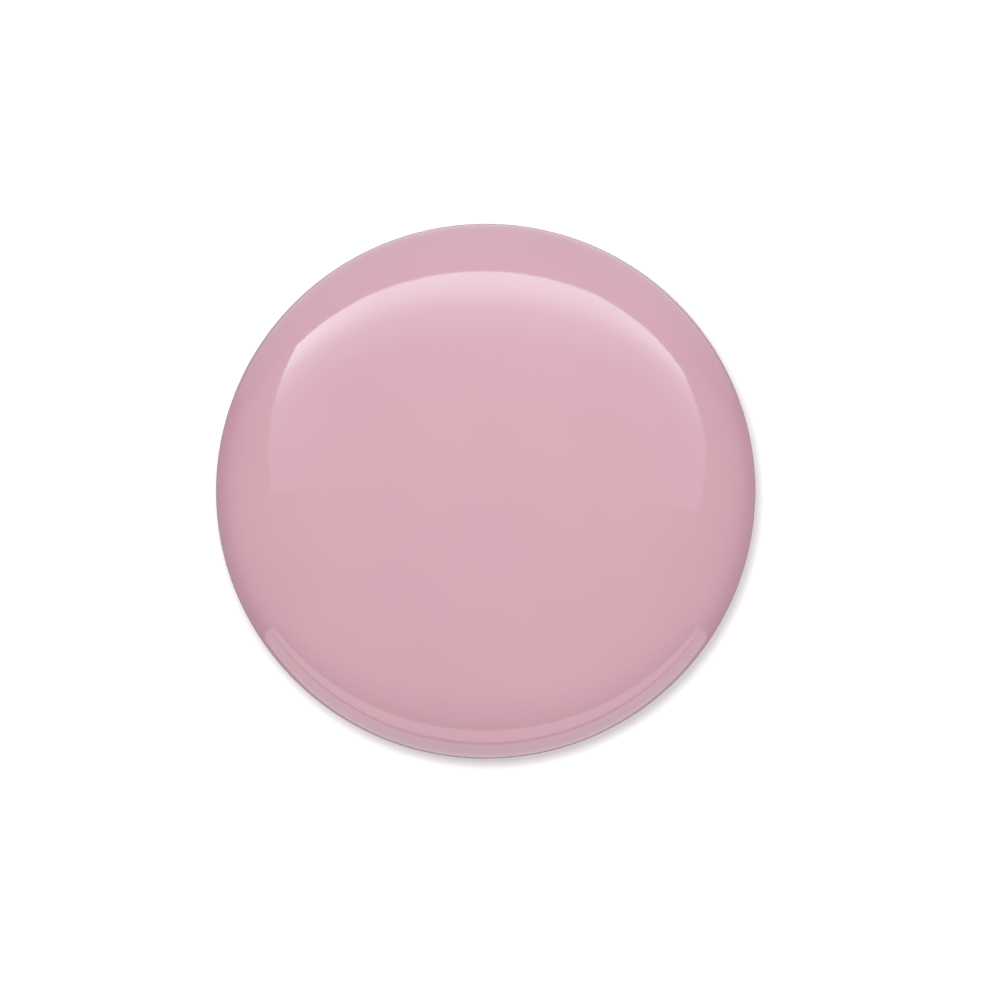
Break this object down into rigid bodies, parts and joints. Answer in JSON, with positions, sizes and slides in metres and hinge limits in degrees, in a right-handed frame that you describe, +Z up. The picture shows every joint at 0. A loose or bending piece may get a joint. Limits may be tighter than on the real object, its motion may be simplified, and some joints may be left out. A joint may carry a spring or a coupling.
{
  "type": "pill splitter",
  "caption": "Round clamshell pill splitter: a domed lid with a guarded blade hinges on a shallow bowl with a V-shaped pill rest, storage wells and a push latch.",
  "frame": {"origin": "on the table, under the middle of the round case", "axes": "+Z up, +Y towards the hinge, -Y towards the latch, +X to the right seen from the latch side"},
  "size_m": [0.074, 0.074, 0.024],
  "materials": {
    "pink_shell": "high-gloss moulded dusty-pink plastic",
    "white_tray": "fine satin moulded white plastic",
    "white_mech": "satin off-white acetal",
    "guard_plastic": "smooth pale grey plastic",
    "blade_steel": "ground stainless steel with a polished bevel",
    "screw_steel": "nickel-plated steel",
    "spring_steel": "bright spring wire",
    "grip_rubber": "soft matte grey rubber",
    "anvil_nylon": "natural nylon",
    "foot_rubber": "soft matte rubber"
  },
  "bodies": {
    "base": {"base_shell": "pink_shell", "base_deck": "white_tray", "pill_bed": "white_tray", "pill_grip_left": "grip_rubber", "pill_grip_right": "grip_rubber", "anvil_strip": "anvil_nylon", "hinge_pin": "screw_steel", "deck_screws": "screw_steel", "foot_front_left": "foot_rubber", "foot_front_right": "foot_rubber", "foot_rear_left": "foot_rubber", "foot_rear_right": "foot_rubber", "latch_spring": "spring_steel"},
    "lid": {"lid_cover": "pink_shell", "lid_liner": "white_tray", "blade_holder": "white_mech", "blade_clamp_plate": "white_mech", "cutting_blade": "blade_steel", "blade_clamp_screws": "screw_steel", "holder_screws": "screw_steel", "guard_spring_front": "spring_steel", "guard_spring_rear": "spring_steel"},
    "guard": {"blade_guard": "guard_plastic"},
    "latch": {"latch_button": "pink_shell", "latch_slide": "white_mech"}
  },
  "joints": [
    {"name": "lid_hinge", "type": "hinge", "parent": "base", "child": "lid", "pos_m": [0, 0.0332, 0.0103], "axis": [-1, 0, 0], "range_deg": [0, 105]},
    {"name": "guard_slide", "type": "slide", "parent": "lid", "child": "guard", "axis": [0, 0, -1], "range_m": [0, 0.007], "deforming": ["guard_spring_front", "guard_spring_rear"]},
    {"name": "latch_press", "type": "slide", "parent": "base", "child": "latch", "axis": [0, 1, 0], "range_m": [0, 0.0012], "stiffness_N_per_m": 300, "springref_m": -0.001, "deforming": ["latch_spring"]}
  ],
  "couplings": [
    {"joint": "guard_slide", "follows": "lid_hinge", "m_per_rad": 0.00381}
  ]
}
